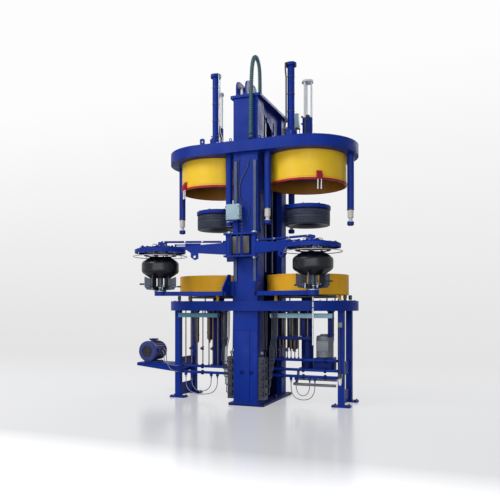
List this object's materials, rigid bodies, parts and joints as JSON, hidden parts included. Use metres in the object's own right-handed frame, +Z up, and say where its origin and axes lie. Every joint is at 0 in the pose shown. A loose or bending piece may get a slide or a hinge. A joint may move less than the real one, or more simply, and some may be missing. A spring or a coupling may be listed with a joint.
{
  "type": "tire vulcanizer",
  "caption": "Column press for curing tyres: a sliding beam with steam domes over two mould cavities, with swinging loaders, unloaders and green tyre stands.",
  "frame": {"origin": "centre of the base plate's anchor hole pattern, on the floor", "axes": "+Z up; the front of the press, where the green tyres wait, faces -Y; the two cavities lie along X"},
  "size_m": [3.7953, 2.6097, 5.3],
  "materials": {
    "blue_frame": "satin",
    "yellow_dome": "semi-gloss",
    "red_lip": "satin",
    "cast_mould": "machined",
    "machined_steel": "ground",
    "dark_steel": "satin",
    "bladder_rubber": "matt",
    "tyre_rubber": "satin",
    "pale_blue_paint": "satin",
    "alloy_valves": "machined",
    "conduit_plastic": "matt",
    "hose_rubber": "satin"
  },
  "bodies": {
    "root": {"base_plate": "blue_frame", "base_platform": "blue_frame", "beam_rails": "machined_steel", "bladders": "bladder_rubber", "cable_troughs": "pale_blue_paint", "centre_cylinders": "dark_steel", "column_front_box": "blue_frame", "column_head": "blue_frame", "column_rear_box": "blue_frame", "column_webs": "blue_frame", "green_tyre_left": "tyre_rubber", "green_tyre_right": "tyre_rubber", "hanging_hoses": "hose_rubber", "head_conduit": "conduit_plastic", "header_pipes": "blue_frame", "leg_frames": "blue_frame", "lift_cylinder": "dark_steel", "loader_rails": "machined_steel", "lower_dome_left": "yellow_dome", "lower_dome_right": "yellow_dome", "lower_moulds": "cast_mould", "motor_shelf": "blue_frame", "pump_motor": "blue_frame", "stand_arms": "blue_frame", "tyre_stand_left": "dark_steel", "tyre_stand_right": "dark_steel", "unloader_rails": "machined_steel", "valve_manifolds": "alloy_valves"},
    "upper_beam": {"upper_beam": "blue_frame", "upper_dome_left": "yellow_dome", "upper_dome_right": "yellow_dome", "dome_lips": "red_lip", "upper_moulds": "cast_mould", "locking_rods": "blue_frame", "crown_cylinders": "blue_frame", "mould_cylinders": "blue_frame", "lift_rod": "machined_steel"},
    "loader_carriage": {"loader_carriage": "blue_frame", "loader_junction_box": "pale_blue_paint"},
    "unloader_carriage": {"unloader_carriage": "blue_frame"},
    "loader_left": {"loader_arm_left": "blue_frame", "loader_chuck_left": "blue_frame"},
    "unloader_left": {"unloader_arm_left": "blue_frame", "unloader_chuck_left": "blue_frame", "cured_tyre_left": "tyre_rubber"},
    "centre_post_left": {"centre_post_left": "machined_steel"},
    "loader_finger_left_1": {"loader_finger_left_1": "machined_steel"},
    "loader_finger_left_2": {"loader_finger_left_2": "machined_steel"},
    "loader_finger_left_3": {"loader_finger_left_3": "machined_steel"},
    "loader_finger_left_4": {"loader_finger_left_4": "machined_steel"},
    "loader_right": {"loader_arm_right": "blue_frame", "loader_chuck_right": "blue_frame"},
    "unloader_right": {"unloader_arm_right": "blue_frame", "unloader_chuck_right": "blue_frame", "cured_tyre_right": "tyre_rubber"},
    "centre_post_right": {"centre_post_right": "machined_steel"},
    "loader_finger_right_1": {"loader_finger_right_1": "machined_steel"},
    "loader_finger_right_2": {"loader_finger_right_2": "machined_steel"},
    "loader_finger_right_3": {"loader_finger_right_3": "machined_steel"},
    "loader_finger_right_4": {"loader_finger_right_4": "machined_steel"}
  },
  "joints": [
    {"name": "beam_lift", "type": "slide", "parent": "root", "child": "upper_beam", "axis": [0, 0, 1], "range_m": [-0.24, 0]},
    {"name": "loader_lift", "type": "slide", "parent": "root", "child": "loader_carriage", "axis": [0, 0, 1], "range_m": [-0.02, 0.25]},
    {"name": "unloader_lift", "type": "slide", "parent": "root", "child": "unloader_carriage", "axis": [0, 0, 1], "range_m": [-0.78, 0.15]},
    {"name": "loader_swing_right", "type": "hinge", "parent": "loader_carriage", "child": "loader_right", "pos_m": [0.2, -0.87, 2.3], "axis": [0, 0, 1], "range_deg": [0, 75.36]},
    {"name": "unloader_swing_right", "type": "hinge", "parent": "unloader_carriage", "child": "unloader_right", "pos_m": [0.3, 0.95, 3.1], "axis": [0, 0, 1], "range_deg": [0, 82]},
    {"name": "centre_post_lift_right", "type": "slide", "parent": "root", "child": "centre_post_right", "axis": [0, 0, 1], "range_m": [0, 0.2]},
    {"name": "loader_finger_slide_right_1", "type": "slide", "parent": "loader_right", "child": "loader_finger_right_1", "axis": [0.8949, 0.4462, 0], "range_m": [0, 0.06]},
    {"name": "loader_finger_slide_right_2", "type": "slide", "parent": "loader_right", "child": "loader_finger_right_2", "axis": [-0.4462, 0.8949, 0], "range_m": [0, 0.06]},
    {"name": "loader_finger_slide_right_3", "type": "slide", "parent": "loader_right", "child": "loader_finger_right_3", "axis": [-0.8949, -0.4462, 0], "range_m": [0, 0.06]},
    {"name": "loader_finger_slide_right_4", "type": "slide", "parent": "loader_right", "child": "loader_finger_right_4", "axis": [0.4462, -0.8949, 0], "range_m": [0, 0.06]},
    {"name": "loader_swing_left", "type": "hinge", "parent": "loader_carriage", "child": "loader_left", "pos_m": [-0.2, -0.87, 2.3], "axis": [0, 0, 1], "range_deg": [-75.36, 0]},
    {"name": "unloader_swing_left", "type": "hinge", "parent": "unloader_carriage", "child": "unloader_left", "pos_m": [-0.3, 0.95, 3.1], "axis": [0, 0, 1], "range_deg": [-82, 0]},
    {"name": "centre_post_lift_left", "type": "slide", "parent": "root", "child": "centre_post_left", "axis": [0, 0, 1], "range_m": [0, 0.2]},
    {"name": "loader_finger_slide_left_1", "type": "slide", "parent": "loader_left", "child": "loader_finger_left_1", "axis": [-0.4462, -0.8949, 0], "range_m": [0, 0.06]},
    {"name": "loader_finger_slide_left_2", "type": "slide", "parent": "loader_left", "child": "loader_finger_left_2", "axis": [0.8949, -0.4462, 0], "range_m": [0, 0.06]},
    {"name": "loader_finger_slide_left_3", "type": "slide", "parent": "loader_left", "child": "loader_finger_left_3", "axis": [0.4462, 0.8949, 0], "range_m": [0, 0.06]},
    {"name": "loader_finger_slide_left_4", "type": "slide", "parent": "loader_left", "child": "loader_finger_left_4", "axis": [-0.8949, 0.4462, 0], "range_m": [0, 0.06]}
  ],
  "couplings": [
    {"joint": "loader_swing_left", "follows": "loader_swing_right", "ratio": -1},
    {"joint": "unloader_swing_left", "follows": "unloader_swing_right", "ratio": -1},
    {"joint": "centre_post_lift_left", "follows": "centre_post_lift_right", "ratio": 1},
    {"joint": "loader_finger_slide_right_2", "follows": "loader_finger_slide_right_1", "ratio": 1},
    {"joint": "loader_finger_slide_right_3", "follows": "loader_finger_slide_right_1", "ratio": 1},
    {"joint": "loader_finger_slide_right_4", "follows": "loader_finger_slide_right_1", "ratio": 1},
    {"joint": "loader_finger_slide_left_1", "follows": "loader_finger_slide_right_1", "ratio": 1},
    {"joint": "loader_finger_slide_left_2", "follows": "loader_finger_slide_right_1", "ratio": 1},
    {"joint": "loader_finger_slide_left_3", "follows": "loader_finger_slide_right_1", "ratio": 1},
    {"joint": "loader_finger_slide_left_4", "follows": "loader_finger_slide_right_1", "ratio": 1}
  ]
}
